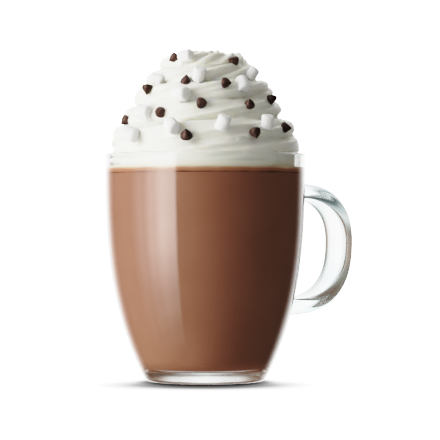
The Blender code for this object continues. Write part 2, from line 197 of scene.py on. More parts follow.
# The painted shadow on the table: its depth by its width, and the share of white from its edge to its middle
SHADOW_DEPTH = 0.75
SHADOW_LEVELS = (
    (0.00, 1.0), (0.10, 0.85), (0.25, 0.425), (0.37, 0.24), (0.47, 0.145), (0.58, 0.078), (0.70, 0.045),
    (1.00, 0.03),
)
CONTACT_REACH = 0.010


def linear(code):
    """An sRGB hex code as a linear colour."""
    channels = [int(code[i : i + 2], 16) / 255 for i in (1, 3, 5)]
    return tuple(c / 12.92 if c <= 0.04045 else ((c + 0.055) / 1.055) ** 2.4 for c in channels)


# Settings


def length_prop(name, description, default):
    return bpy.props.FloatProperty(
        name=name, description=description, default=default, unit="LENGTH", precision=5
    )


def colour_prop(name, description, code):
    return bpy.props.FloatVectorProperty(
        name=name, description=description, default=linear(code), subtype="COLOR", min=0, max=1
    )


def light_prop(name, description, default):
    return bpy.props.FloatProperty(name=name, description=description, default=default, min=0)


class MugSettings(bpy.types.PropertyGroup):
    height: length_prop("Height", "From the table to the rim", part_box("mug")[1].z)
    rim_radius: length_prop("Rim radius", "Outside radius at the rim", 0.0475)
    foot_taper: length_prop("Foot taper", "How much narrower the foot is than the rim", 0.0193)
    rim_wall: length_prop("Wall at the rim", "Glass thickness at the rim", 0.0029)
    floor_wall: length_prop("Wall at the floor", "Glass thickness low in the wall", 0.0038)
    floor_height: length_prop("Floor", "Thickness of the glass floor", 0.0066)
    handle_width: length_prop("Handle width", "Width of the handle's bar", 0.0180)
    handle_edge: length_prop("Handle edge", "Radius of the bar's edges", 0.0028)
    tint: colour_prop("Glass tint", "What the glass does to white light", "#F9FCFB")


class DrinkSettings(bpy.types.PropertyGroup):
    level: length_prop("Level", "Height of the drink's top", 0.0984)
    melt_level: length_prop("Melt level", "Top of the band where cream melts", 0.1014)
    colour: colour_prop("Mocha", "Colour of the drink", "#9D7665")
    melt_colour: colour_prop("Melted cream", "Colour of the melt band", "#B98C73")


class CreamSettings(bpy.types.PropertyGroup):
    ridges: bpy.props.IntProperty(
        name="Ridges", description="Points of the star nozzle", default=5, min=4, max=12
    )
    ridge_depth: bpy.props.FloatProperty(
        name="Ridge depth", description="Share of the rope's half thickness", default=0.34, subtype="FACTOR",
        min=0, max=0.5,
    )
    voxel: length_prop("Voxel", "Size of the cells that fuse the rope", 0.00059)
    colour: colour_prop("Cream", "Colour of the whipped cream", "#F5F4EC")


class ToppingSettings(bpy.types.PropertyGroup):
    marshmallow_radius: length_prop("Marshmallow radius", "Radius of the largest marshmallow", 0.0035)
    marshmallow_length: length_prop("Marshmallow length", "Length of the largest marshmallow", 0.0077)
    marshmallow_colour: colour_prop("Marshmallow", "Colour of the marshmallows", "#FDFDFF")
    chip_radius: length_prop("Chip radius", "Radius of the largest chip", 0.0026)
    chip_height: length_prop("Chip height", "Height of the largest chip", 0.0045)
    chip_colour: colour_prop("Chocolate", "Colour of the chips", "#584038")


class StageSettings(bpy.types.PropertyGroup):
    key: light_prop("Key light", "Brightness of the softbox on matt surfaces", 8.2)
    key_colour: colour_prop("Key colour", "Colour of the softbox", "#FDFDFC")
    key_shine: light_prop("Key shine", "Brightness of the softbox in reflections", 8.1)
    surround: light_prop("Surround", "Brightness of the room in reflections", 0.1)
    backdrop: light_prop("Backdrop", "Brightness of the white round the mug, in glass", 2.4)
    flag: light_prop("Flag", "Brightness of the dark cards beside the mug", 0.42)
    flag_colour: colour_prop("Flag colour", "Colour of the dark cards", "#F0D8C6")
    overhead: light_prop("Overhead", "Brightness of the ceiling on matt surfaces", 0.74)
    fill: light_prop("Fill", "Brightness of the room at eye level on matt surfaces", 0.12)
    table_lit: light_prop("Lit table", "What the table sends up on the lit side", 1.35)
    table_shaded: light_prop("Shaded table", "What the table sends up on the other side", 0.36)
    fill_colour: colour_prop("Fill colour", "Colour of the room's light", "#FFFEF8")
    shadow_reach: length_prop("Shadow reach", "Half the width of the soft shadow", 0.060)
    shadow_shift: length_prop("Shadow shift", "How far it falls towards the camera", 0.026)
    floor_colour: colour_prop("Table", "Colour of the table top", "#FFFFFF")


# Meshes


def add_object(name, data):
    obj = bpy.data.objects.new(name, data)
    bpy.context.scene.collection.objects.link(obj)
    return obj


def from_form(name, form):
    """A mesh object of a bmesh, which is used up."""
    mesh = bpy.data.meshes.new(name)
    form.to_mesh(mesh)
    form.free()
    return add_object(name, mesh)


def settled(obj):
    """The object as it evaluates now, as a plain mesh object with the same name."""
    bpy.context.view_layer.update()
    mesh = bpy.data.meshes.new_from_object(obj.evaluated_get(bpy.context.evaluated_depsgraph_get()))
    name = obj.name
    bpy.data.objects.remove(obj)
    return add_object(name, mesh)


def turned(name, profile, sides=SIDES):
    """A solid of revolution. The profile, as (distance from the axis, height), runs down the outside."""
    mesh = bpy.data.meshes.new(name)
    edges = [(i, i + 1) for i in range(len(profile) - 1)]
    mesh.from_pydata([(across, 0, up) for across, up in profile], edges, [])
    obj = add_object(name, mesh)
    turn = obj.modifiers.new("turn", "SCREW")
    turn.steps = turn.render_steps = sides
    turn.use_merge_vertices = True
    turn.merge_threshold = WELD
    return settled(obj)


def lofted(name, rings):
    """A closed tube through rings of points."""
    form = bmesh.new()
    rings = [[form.verts.new(point) for point in ring] for ring in rings]
    for first, second in zip(rings, rings[1:]):
        for i in range(len(first)):
            j = (i + 1) % len(first)
            form.faces.new((first[i], first[j], second[j], second[i]))
    form.faces.new(reversed(rings[0]))
    form.faces.new(rings[-1])
    bmesh.ops.recalc_face_normals(form, faces=form.faces)
    return from_form(name, form)


def combine(obj, operation, other):
    """The object after a Boolean with another, which is used up."""
    step = obj.modifiers.new(operation, "BOOLEAN")
    step.operation = operation
    step.solver = "EXACT"
    step.object = other
    result = settled(obj)
    bpy.data.objects.remove(other)
    return result


def coordinates(mesh):
    points = np.empty(len(mesh.vertices) * 3)
    mesh.vertices.foreach_get("co", points)
    return points.reshape(-1, 3)


def move_vertices(mesh, points):
    mesh.vertices.foreach_set("co", points.ravel())
    mesh.update()


def keep_largest_shell(obj):
    form = bmesh.new()
    form.from_mesh(obj.data)
    unseen = set(form.verts)
    largest = set()
    while unseen:
        shell = {unseen.pop()}
        front = list(shell)
        while front:
            for edge in front.pop().link_edges:
                for vert in edge.verts:
                    if vert not in shell:
                        shell.add(vert)
                        front.append(vert)
        unseen -= shell
        largest = max(largest, shell, key=len)
    bmesh.ops.delete(form, geom=[v for v in form.verts if v not in largest], context="VERTS")
    form.to_mesh(obj.data)
    form.free()


def finish_piece(obj, finish, nodes, sharp=40):
    """Gives a piece its material and smooth shading, hangs it on the body and hides the solids that it stands
    for.
    """
    obj.data.materials.clear()
    obj.data.materials.append(finish)
    obj.data.shade_smooth()
    obj.data.set_sharp_from_angle(angle=math.radians(sharp))
    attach(obj, BODY)
    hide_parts(*nodes)


def hide_from(obj, *rays):
    for ray in rays:
        setattr(obj, f"visible_{ray}", False)


# Materials


def new_material(name):
    """A material, its nodes, its shader and the place in metres that its patterns are laid out by."""
    made = bpy.data.materials.new(name)
    made.use_nodes = True
    tree = made.node_tree
    return made, tree, tree.nodes["Principled BSDF"], add_node(tree, "ShaderNodeTexCoord").outputs["Object"]


def set_inputs(tree, node, inputs):
    """Inputs are values, or the sockets that feed them. A node stands for its first output."""
    for key, value in inputs.items():
        if isinstance(value, bpy.types.Node):
            value = value.outputs[0]
        if isinstance(value, bpy.types.NodeSocket):
            tree.links.new(value, node.inputs[key])
        else:
            node.inputs[key].default_value = value


def add_node(tree, kind, inputs=None, **settings):
    """Adds a node with its settings, values and links."""
    node = tree.nodes.new(kind)
    for key, value in settings.items():
        setattr(node, key, value)
    set_inputs(tree, node, inputs or {})
    return node


def set_stops(ramp, stops):
    """A ramp's stops, as (position, linear colour or level of white)."""
    elements = ramp.color_ramp.elements
    while len(elements) < len(stops):
        elements.new(1.0)
    for element, (position, colour) in zip(elements, stops):
        element.position = position
        plain = isinstance(colour, (int, float))
        element.color = (colour, colour, colour, 1) if plain else (*colour, 1)


def mixed(first, second, share):
    return tuple(a + (b - a) * share for a, b in zip(first, second))


def scaled(colour, level):
    return tuple(part * level for part in colour)


def pressed_glass(tint):
    """Soda-lime glass, pressed in a mould and fire polished: clear, hard edged and faintly wavy."""
    made, tree, shader, place = new_material("pressed_soda_lime_glass")
    # The mould's waves are about 14 mm long and hardly deep enough to see
    waves = add_node(tree, "ShaderNodeTexNoise", {"Vector": place, "Scale": 70.0, "Detail": 1.0})
    relief = add_node(tree, "ShaderNodeBump", {"Height": waves, "Strength": 0.05, "Distance": 0.0008})
    set_inputs(tree, shader, {
        "Base Color": (*tint, 1), "Roughness": 0.0, "IOR": 1.52, "Transmission Weight": 1.0,
        "Normal": relief,
    })
    # Lamps reach what is in the glass
    path = add_node(tree, "ShaderNodeLightPath")
    clear = add_node(tree, "ShaderNodeBsdfTransparent")
    mix = add_node(tree, "ShaderNodeMixShader", {0: path.outputs["Is Shadow Ray"], 1: shader, 2: clear})
    set_inputs(tree, tree.nodes["Material Output"], {"Surface": mix})
    return made


def milky_mocha(colour):
    """Espresso with chocolate and steamed milk: an opaque, even brown liquid, wet against the glass.

    Seen through the glass at a slant, past about 62 degrees, the wet surface is a mirror. So the mug's floor
    stays clear.
    """
    made, tree, shader, place = new_material("milky_mocha")
    # Milk clouds of about 25 mm that the eye only half sees
    clouds = add_node(tree, "ShaderNodeTexNoise", {"Vector": place, "Scale": 40.0, "Detail": 3.0})
    ramp = add_node(tree, "ShaderNodeValToRGB", {"Fac": clouds})
    set_stops(ramp, ((0.3, scaled(colour, 0.95)), (0.7, mixed(colour, WHITE, 0.015))))
    set_inputs(tree, shader, {"Base Color": ramp, "Roughness": 0.35, "IOR": 1.34, "Specular IOR Level": 0.1})
    slant = add_node(tree, "ShaderNodeLayerWeight", {"Blend": 0.5})
    past = add_node(
        tree, "ShaderNodeMapRange",
        {"Value": slant.outputs["Facing"], "From Min": 0.44, "From Max": 0.56, "To Max": 0.7},
        interpolation_type="SMOOTHSTEP",
    )
    mirror = add_node(tree, "ShaderNodeBsdfGlossy", {"Color": (*linear("#FBFBFB"), 1), "Roughness": 0.12})
    mix = add_node(tree, "ShaderNodeMixShader", {0: past, 1: shader, 2: mirror})
    set_inputs(tree, tree.nodes["Material Output"], {"Surface": mix})
    return made


def melted_cream(drink, colour, level, top):
    """Cream melting into the drink: tan above, with a painted dark line of meniscus shade where the drink
    starts.
    """
    made, tree, shader, place = new_material("melted_cream")
    parts = add_node(tree, "ShaderNodeSeparateXYZ", {"Vector": place})
    # Tongues of cream about 12 mm long hang down, up to MELT_SWAY above or below the middle
    tongues = add_node(tree, "ShaderNodeTexNoise", {"Vector": place, "Scale": 90.0, "Detail": 2.0})
    sway = add_node(
        tree, "ShaderNodeMath", {0: tongues, 1: 2 * MELT_SWAY, 2: -MELT_SWAY}, operation="MULTIPLY_ADD"
    )
    height = add_node(tree, "ShaderNodeMath", {0: parts.outputs["Z"], 1: sway}, operation="ADD")
    bottom = level - MELT_DIP
    share = add_node(tree, "ShaderNodeMapRange", {"Value": height, "From Min": bottom, "From Max": top})
    ramp = add_node(tree, "ShaderNodeValToRGB", {"Fac": share})
    # Painted shade: the dark line where the drink starts stands in for the shade at the meniscus
    meniscus_shade = linear("#5E3624")
    set_stops(ramp, (
        (0.00, meniscus_shade), (0.10, mixed(drink, meniscus_shade, 0.6)), (0.30, mixed(drink, colour, 0.35)), (0.62, colour),
        (1.00, linear("#E4D5C0")),
    ))
    set_inputs(tree, shader, {
        "Base Color": ramp, "Roughness": 0.45, "Specular IOR Level": 0.2,
        "Subsurface Weight": 0.15, "Subsurface Radius": (1.0, 0.7, 0.45), "Subsurface Scale": 0.0012,
    })
    return made


def whipped_cream(colour):
    """Whipped dairy cream, piped through a star nozzle: soft, pale and faintly wet, with tiny bubbles."""
    made, tree, shader, place = new_material("whipped_dairy_cream")
    parts = add_node(tree, "ShaderNodeSeparateXYZ", {"Vector": place})
    # Coffee soaks up into the lowest 3 mm
    soak = add_node(tree, "ShaderNodeMapRange", {
        "Value": parts.outputs["Z"], "From Min": SOAKED[0], "From Max": SOAKED[1],
    })
    ramp = add_node(tree, "ShaderNodeValToRGB", {"Fac": soak})
    set_stops(ramp, ((0.0, linear("#E8DAC2")), (0.35, linear("#F0EADB")), (1.0, colour)))
    # Bubbles of 0.4 mm, drawn a little coarser than they are, over drags of 3 mm
    bubbles = add_node(tree, "ShaderNodeTexNoise", {"Vector": place, "Scale": 2200.0, "Detail": 2.0})
    drags = add_node(tree, "ShaderNodeTexNoise", {"Vector": place, "Scale": 330.0, "Detail": 3.0})
    relief = add_node(tree, "ShaderNodeBump", {"Height": drags, "Strength": 0.25, "Distance": 0.0005})
    fine = add_node(tree, "ShaderNodeBump", {
        "Height": bubbles, "Strength": 0.12, "Distance": 0.0001, "Normal": relief,
    })
    set_inputs(tree, shader, {
        "Base Color": ramp, "Roughness": 0.42, "IOR": 1.45, "Specular IOR Level": 0.35,
        "Subsurface Weight": 0.6, "Subsurface Radius": (1.0, 0.9, 0.7), "Subsurface Scale": 0.002,
        "Normal": fine,
    })
    return made


def marshmallow_foam(colour):
    """Marshmallow, extruded, cut and dusted with starch: dull, powdery and slightly see-through."""
    made, tree, shader, place = new_material("dusted_marshmallow")
    # Starch lies in patches of about 1.5 mm, on foam cells of 0.3 mm
    patches = add_node(tree, "ShaderNodeTexNoise", {"Vector": place, "Scale": 650.0, "Detail": 2.0})
    ramp = add_node(tree, "ShaderNodeValToRGB", {"Fac": patches})
    set_stops(ramp, ((0.35, scaled(colour, 0.975)), (0.65, colour)))
    cells = add_node(tree, "ShaderNodeTexNoise", {"Vector": place, "Scale": 3200.0, "Detail": 2.0})
    relief = add_node(tree, "ShaderNodeBump", {"Height": cells, "Strength": 0.3, "Distance": 0.0001})
    set_inputs(tree, shader, {
        "Base Color": ramp, "Roughness": 0.85, "Specular IOR Level": 0.25,
        "Subsurface Weight": 0.8, "Subsurface Radius": (1.0, 0.95, 0.9), "Subsurface Scale": 0.0035,
        "Normal": relief,
    })
    return made


def dark_chocolate(colour):
    """Dark chocolate, tempered and dropped from a depositor: satin, with dull patches of cocoa butter."""
    made, tree, shader, place = new_material("tempered_dark_chocolate")
    # Patches of about 1 mm differ in shade and in shine
    patches = add_node(tree, "ShaderNodeTexNoise", {"Vector": place, "Scale": 900.0, "Detail": 3.0})
    ramp = add_node(tree, "ShaderNodeValToRGB", {"Fac": patches})
    set_stops(ramp, ((0.35, scaled(colour, 0.75)), (0.7, mixed(colour, WHITE, 0.03))))
    shine = add_node(tree, "ShaderNodeMapRange", {"Value": patches, "To Min": 0.32, "To Max": 0.55})
    set_inputs(tree, shader, {"Base Color": ramp, "Roughness": shine, "IOR": 1.46})
    return made


# Glass mug and what fills it


def outer_radius(mug, height):
    return mug.rim_radius - mug.foot_taper * np.maximum(0, 1 - height / mug.height) ** BELLY_POWER


def inner_radius(mug, height):
    down = np.maximum(0, 1 - height / mug.height) ** 2
    return outer_radius(mug, height) - mug.rim_wall - (mug.floor_wall - mug.rim_wall) * down


def wall_heights(top, bottom, steps):
    """Heights down a wall, closer together towards the foot, where it curves most."""
    return [bottom + (top - bottom) * (1 - i / steps) ** RING_BUNCHING for i in range(steps + 1)]


def arc(centre, radius, start, end, steps):
    """Points round a centre, with angles in degrees up from the outward direction."""
    angles = [math.radians(start + (end - start) * i / steps) for i in range(steps + 1)]
    return [(centre[0] + radius * math.cos(a), centre[1] + radius * math.sin(a)) for a in angles]


def mug_profile(mug, lip):
    lip_arc = arc((mug.rim_radius - lip, mug.height - lip), lip, 90, 0, ROUND_STEPS)
    wall = [(outer_radius(mug, z), z) for z in wall_heights(mug.height - 2 * lip, HEEL_START, OUTER_STEPS)]
    heel_angle = math.degrees(math.asin(HEEL_START / HEEL_RADIUS - 1))
    heel_out = outer_radius(mug, HEEL_START) - HEEL_RADIUS * math.cos(math.radians(heel_angle))
    heel = arc((heel_out, HEEL_RADIUS), HEEL_RADIUS, heel_angle, -90, ROUND_STEPS)[1:]
    # The recess under the base rises in a soft wave from the ring that the mug stands on
    land = heel_out - FOOT_LAND
    punt = []
    for i in range(CURVE_STEPS + 1):
        share = i / CURVE_STEPS
        rise = 0.5 - 0.5 * math.cos(math.pi * share)
        punt.append((land - (land - PUNT_RADIUS) * share, PUNT_DEPTH * rise))
    return [(0, mug.height)] + lip_arc + wall + heel + punt + [(0, PUNT_DEPTH)]


def hollow_profile(mug, top, reach=0.0):
    """The hollow's wall and floor, from a height down. What fills it reaches a little further."""
    floor = mug.floor_height - reach
    heights = wall_heights(top, floor + FLOOR_CORNER, INNER_STEPS)
    corner = []
    for i in range(1, CURVE_STEPS + 1):
        angle = math.radians(90 - 90 * i / CURVE_STEPS)
        z = floor + FLOOR_CORNER * (1 - math.cos(angle))
        inset = FLOOR_CORNER * (1 - math.sin(angle))
        corner.append((inner_radius(mug, z) + reach - inset, z))
    return [(inner_radius(mug, z) + reach, z) for z in heights] + corner + [(0, floor)]


def handle_point(shape, angle):
    """A point of a superellipse's outer half, as (distance from the axis, height). 90 degrees is its top."""
    (across, up), (reach, rise), power = shape
    out = reach * abs(math.cos(angle)) ** (2 / power)
    climb = math.copysign(rise * abs(math.sin(angle)) ** (2 / power), math.sin(angle))
    return Vector((across + out + HANDLE_LEAN * climb, 0, up + climb))


def rounded_bar(half_out, half_across, edge):
    """A rounded rectangle as pairs (out, across), counter-clockwise."""
    ring = []
    for corner, (side_out, side_across) in enumerate(((1, 1), (-1, 1), (-1, -1), (1, -1))):
        for i in range(EDGE_STEPS + 1):
            angle = math.pi / 2 * (corner + i / EDGE_STEPS)
            out = side_out * (half_out - edge) + edge * math.cos(angle)
            ring.append((out, side_across * (half_across - edge) + edge * math.sin(angle)))
    return ring


def make_handle(mug):
    """The handle's bar, lofted between its outside and inside, and spread where it meets the wall."""
    pairs = []
    for i in range(HANDLE_STEPS + 1):
        angle = math.pi / 2 * (1 - 2 * i / HANDLE_STEPS)
        pairs.append((handle_point(HANDLE_OUTSIDE, angle), handle_point(HANDLE_INSIDE, angle)))
    for end, at in ((0, 0), (-1, len(pairs) + 1)):
        pairs.insert(at, [Vector((HANDLE_ROOT, 0, point.z)) for point in pairs[end]])
    rings = []
    for outside, inside in pairs:
        middle = (outside + inside) / 2
        out = (outside - inside) / 2
        clear = max(middle.x - outer_radius(mug, middle.z), 0)
        spread = HANDLE_SPREAD * math.exp(-clear / HANDLE_SPREAD_REACH)
        bar = rounded_bar(out.length + spread, mug.handle_width / 2 + spread, mug.handle_edge + spread / 2)
        rings.append([middle + out.normalized() * along + Vector((0, across, 0)) for along, across in bar])
    return lofted("handle", rings)


def make_glass_mug(mug):
    lip = (mug.rim_wall - LIP_LAND) / 2
    edge = mug.rim_radius - mug.rim_wall + lip
    opening = [(0, mug.height + lip), (edge, mug.height + lip)]
    opening += arc((edge, mug.height - lip), lip, 90, 180, ROUND_STEPS)
    hollow = turned("hollow", opening + hollow_profile(mug, mug.height - 2 * lip))
    body = turned("glass_mug", mug_profile(mug, lip))
    body = combine(body, "UNION", make_handle(mug))
    return combine(body, "DIFFERENCE", hollow)


# Whipped cream


def rope_at(turns):
    """Height, reach and half thickness of the rope, on a smooth curve through the run's rows."""
    last = len(ROPE_RUN) - 2
    row = max(i for i in range(last + 1) if i == 0 or ROPE_RUN[i][0] <= turns)
    start, end = ROPE_RUN[row], ROPE_RUN[row + 1]
    before = ROPE_RUN[max(row - 1, 0)]
    after = ROPE_RUN[min(row + 2, last + 1)]
    span = end[0] - start[0]
    t = (turns - start[0]) / span
    values = []
    for k in (1, 2, 3):
        leave = (end[k] - before[k]) / (end[0] - before[0]) * span
        arrive = (after[k] - start[k]) / (after[0] - start[0]) * span
        ends = (2 * t**3 - 3 * t**2 + 1) * start[k] + (3 * t**2 - 2 * t**3) * end[k]
        slopes = (t**3 - 2 * t**2 + t) * leave + (t**3 - t**2) * arrive
        values.append(ends + slopes)
    return values


def round_the_mug(bearing):
    """The level direction at a bearing."""
    angle = math.radians(FRONT_ANGLE + bearing)
    return Vector((math.cos(angle), math.sin(angle), 0))


def wander(turns, pace, seed):
    """A slow random value between about -1 and 1 along the rope."""
    return noise.noise(Vector((turns * pace, seed, 0.5))) * 1.6


def rope_middles():
    """The rope's middles and half thicknesses, from its start."""
    middles = []
    halves = []
    for i in range(round(ROPE_RUN[-1][0] * ROPE_STEPS) + 1):
        turns = i / ROPE_STEPS
        height, reach, half = rope_at(turns)
        half *= 1 + ROPE_THROB * wander(turns, pace=2.3, seed=11.0)
        reach += ROPE_SHIFT * wander(turns, pace=3.1, seed=23.0)
        height += ROPE_SHIFT * wander(turns, pace=2.7, seed=37.0)
        middles.append(round_the_mug(ROPE_START + 360 * turns) * (reach - half) + UP * height)
        halves.append(half)
    return middles, halves


def rope_outline(cream, turns, start):
    """Angles round the rope and its radius there, as a share: rounded ridges with sharp grooves between."""
    # The ridges run together at the bottom and stand out at the top
    depth = cream.ridge_depth * np.interp(turns, RIDGE_DEPTH_TURNS, RIDGE_DEPTH_SHARES)
    count = cream.ridges * RIDGE_POINTS
    outline = []
    for j in range(count):
        angle = math.tau * j / count
        groove = 1 - abs(math.cos(cream.ridges * angle / 2))
        nearest = round(cream.ridges * angle / math.tau - 0.5) % cream.ridges
        uneven = 1 + RIDGE_UNEVEN * wander(turns, pace=2.1, seed=70.0 + 9.0 * nearest)
        swell = RIDGE_SWELL * wander(turns, pace=1.6, seed=5.0 + 2.0 * math.sin(angle + start))
        across = Vector((DRAG_WAVES * math.cos(angle), DRAG_WAVES * math.sin(angle), DRAG_PACE * turns))
        drag = DRAG_DEPTH * noise.noise(across)
        outline.append((angle + start, 1 - depth * groove * uneven + swell + drag))
    return outline


def make_rope(cream):
    """The piped rope, with ridges that drift and fade and fine drags along them, closed at its ends."""
    middles, halves = rope_middles()
    rings = []
    for i, (middle, half) in enumerate(zip(middles, halves)):
        turns = i / ROPE_STEPS
        forward = (middles[min(i + 1, len(middles) - 1)] - middles[max(i - 1, 0)]).normalized()
        side = forward.cross(UP).normalized()
        over = side.cross(forward)
        twist = RIDGE_TWIST * turns + TOP_TWIST * max(0.0, turns - TOP_TWIST_START) ** 2
        start = math.tau * twist + RIDGE_SWAY * wander(turns, pace=1.9, seed=51.0)
        ring = []
        for around, out in rope_outline(cream, turns, start):
            ring.append(middle + (side * math.cos(around) + over * math.sin(around)) * (half * out))
        rings.append(ring)
    return lofted("rope", rings)


def core_profile(melt_level):
    profile = []
    turns = CORE_TOP_TURNS
    while turns >= 1:
        height, reach, half = rope_at(turns)
        profile.append((reach - half - CORE_SINK, height))
        turns -= CORE_TURN_STEP
    base = melt_level - CORE_DIP
    return [(0, profile[0][1])] + profile + [(CORE_FOOT, CORE_LEDGE), (CORE_FOOT, base), (0, base)]


def pull_in_foot(mesh):
    """Leaves the gap between the cream and the glass on the right."""
    gap_side = round_the_mug(FOOT_GAP_BEARING)
    for vert in mesh.vertices:
        level = Vector((vert.co.x, vert.co.y, 0))
        if vert.co.z > FOOT_GAP_TOP or level.length < FOOT_GAP_FROM:
            continue
        away = min(math.degrees(level.angle(gap_side)) / FOOT_GAP_SPREAD, 1.0)
        vert.co -= level.normalized() * FOOT_GAP * (0.5 + 0.5 * math.cos(math.pi * away))


def roughen_cream(mesh):
    """Soft dents of about 7 mm, and fine streaks that run round the swirl, as the nozzle drags them."""
    points = coordinates(mesh)
    normals = np.array([vector.vector[:] for vector in mesh.vertex_normals])
    around, outward, upward = STREAK_WAVES
    shifts = []
    for x, y, z in points:
        reach = math.hypot(x, y)
        dents = noise.noise(Vector((x, y, z)) * DENT_WAVES) * DENT_DEPTH
        place = Vector((x / reach * around + reach * outward, y / reach * around, z * upward))
        shifts.append(dents + noise.noise(place) * STREAK_DEPTH)
    move_vertices(mesh, points + normals * np.array(shifts)[:, None])


def press_to_wall(mesh, mug):
    """Cream near to the inside of the glass lies flat against it, but for the grooves dragged round it."""
    points = coordinates(mesh)
    reach = np.hypot(points[:, 0], points[:, 1])
    heights = points[:, 2]
    wall = inner_radius(mug, heights)
    pressed = (heights < mug.height) & (reach > wall - PRESS)
    grooved = np.flatnonzero(pressed & (heights > GROOVES_FROM))
    points[pressed, :2] *= ((wall + OVERLAP) / reach)[pressed, None]
    across, upward = GROOVE_WAVES
    for i in grooved:
        x, y, z = points[i]
        groove = noise.noise(Vector((x * across, y * across, (z - GROOVE_TILT * x) * upward)))
        points[i, :2] *= 1 - max(0.0, groove) * GROOVE_DEPTH / reach[i]
    move_vertices(mesh, points)


def make_cream(cream, mug, melt_level):
    rope = make_rope(cream)
    core = turned("core", core_profile(melt_level), CORE_SIDES)
    pull_in_foot(core.data)
    form = bmesh.new()
    for obj in (rope, core):
        form.from_mesh(obj.data)
        bpy.data.objects.remove(obj)
    swirl = from_form("cream_swirl", form)
    fuse = swirl.modifiers.new("fuse", "REMESH")
    fuse.mode = "VOXEL"
    fuse.voxel_size = cream.voxel
    soften = swirl.modifiers.new("soften", "SMOOTH")
    soften.factor = 0.5
    soften.iterations = 2
    swirl = settled(swirl)
    keep_largest_shell(swirl)
    roughen_cream(swirl.data)
    press_to_wall(swirl.data, mug)
    return swirl


# Toppings


def resting_place(node, narrow_end):
    """Where a topping's solid lies: its middle, its axis and its extent along the axis."""
    points = np.unique(np.round(coordinates(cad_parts[node].data), 6), axis=0)
    spread = np.cov((points - (points.min(axis=0) + points.max(axis=0)) / 2).T)
    axis = np.linalg.eigh(spread)[1][:, 2]
    along = points @ axis
    if narrow_end:
        beside = np.linalg.norm(points - points.mean(axis=0) - np.outer(along - along.mean(), axis), axis=1)
        top = beside[along > along.max() - END_SLICE].mean()
        bottom = beside[along < along.min() + END_SLICE].mean()
        if top > bottom:
            axis = -axis
            along = -along
    middle = points.mean(axis=0)
    middle += axis * ((along.max() + along.min()) / 2 - middle @ axis)
    return Vector(middle), Vector(axis), along.max() - along.min()


def lifted(middle, surface, least):
    """A topping's middle, moved out where the cream's finer ridges would swallow it."""
    near, normal, _, _ = surface.find_nearest(middle)
    return middle + normal * max(0.0, least - (middle - near).dot(normal))


def turned_form(profile, sides):
    """A turned mesh in bmesh, about Z, from (distance from the axis, height) running down the outside."""
    form = bmesh.new()
    rings = []
    for across, up in profile:
        angles = [math.tau * i / sides for i in range(sides if across else 1)]
        rings.append([form.verts.new((across * math.cos(a), across * math.sin(a), up)) for a in angles])
    for upper, lower in zip(rings, rings[1:]):
        for i in range(sides):
            j = (i + 1) % sides
            ends = ((upper, i), (lower, i), (lower, j), (upper, j))
            corners = [ring[k % len(ring)] for ring, k in ends]
            form.faces.new(list(dict.fromkeys(corners)))
    return form


def lumpiness(at, lumps, seed):
    return sum(noise.noise(at * waves + seed) * depth for waves, depth in lumps)


def marshmallow_form(toppings, chance):
    """A short extruded stub: round shoulders, a slightly pinched waist and faces dented by the cutter."""
    half = toppings.marshmallow_length / 2
    radius = toppings.marshmallow_radius
    edge = radius * chance.uniform(*MARSHMALLOW_EDGE)
    rows = [(radius * share, half - depth) for share, depth in CUT_FACE]
    rows += arc((radius - edge, half - edge), edge, 90, 0, EDGE_STEPS)
    rows += [(radius * share, half * up) for share, up in WAIST]
    form = turned_form(rows + [(across, -up) for across, up in reversed(rows[:-1])], MARSHMALLOW_SIDES)
    seed = Vector([chance.uniform(0, 50) for _ in range(3)])
    squash = chance.uniform(*MARSHMALLOW_SQUASH)
    for vert in form.verts:
        at = vert.co.copy()
        vert.co = at + at.normalized() * lumpiness(at, MARSHMALLOW_LUMPS, seed)
        vert.co.y *= squash
    return form


def chip_form(toppings, chance):
    """A drop of chocolate: a flat foot, a full belly and a tip drawn off to one side."""
    height = toppings.chip_height
    belly = toppings.chip_radius * chance.uniform(*CHIP_BELLY)
    form = turned_form([(out * belly, height * (up - 0.5)) for out, up in CHIP_PROFILE], CHIP_SIDES)
    lean = chance.uniform(*CHIP_LEAN)
    curl = chance.uniform(0, math.tau)
    seed = Vector([chance.uniform(0, 50) for _ in range(3)])
    for vert in form.verts:
        rise = max(0.0, vert.co.z / height + 0.1) ** 2
        vert.co += Vector((math.cos(curl), math.sin(curl), 0)) * lean * rise
        vert.co += vert.co.normalized() * lumpiness(vert.co, CHIP_LUMPS, seed)
    return form


def scattered(name, nodes, shape, toppings, chance, least, largest, narrow_end=False):
    """One mesh object of all toppings of a kind, each where its solid lies, at its solid's size."""
    surface = BVHTree.FromObject(bpy.data.objects["cream_swirl"], bpy.context.evaluated_depsgraph_get())
    whole = bmesh.new()
    for node in nodes:
        middle, axis, extent = resting_place(node, narrow_end)
        middle = lifted(middle, surface, least)
        form = shape(toppings, chance)
        roll = Matrix.Rotation(chance.uniform(0, math.tau), 4, "Z")
        turn = axis.to_track_quat("Z", "Y").to_matrix().to_4x4() @ roll
        size = Matrix.Scale(extent / largest, 4)
        bmesh.ops.transform(form, matrix=Matrix.Translation(middle) @ turn @ size, verts=form.verts)
        part = bpy.data.meshes.new("part")
        form.to_mesh(part)
        form.free()
        whole.from_mesh(part)
        bpy.data.meshes.remove(part)
    return from_form(name, whole)


# Stage


def to_the_left(angle):
    """The level direction at an angle, in degrees, to the left of the camera as the mug sees it."""
    toward = round_the_mug(0)
    return toward * math.cos(math.radians(angle)) - UP.cross(toward) * math.sin(math.radians(angle))


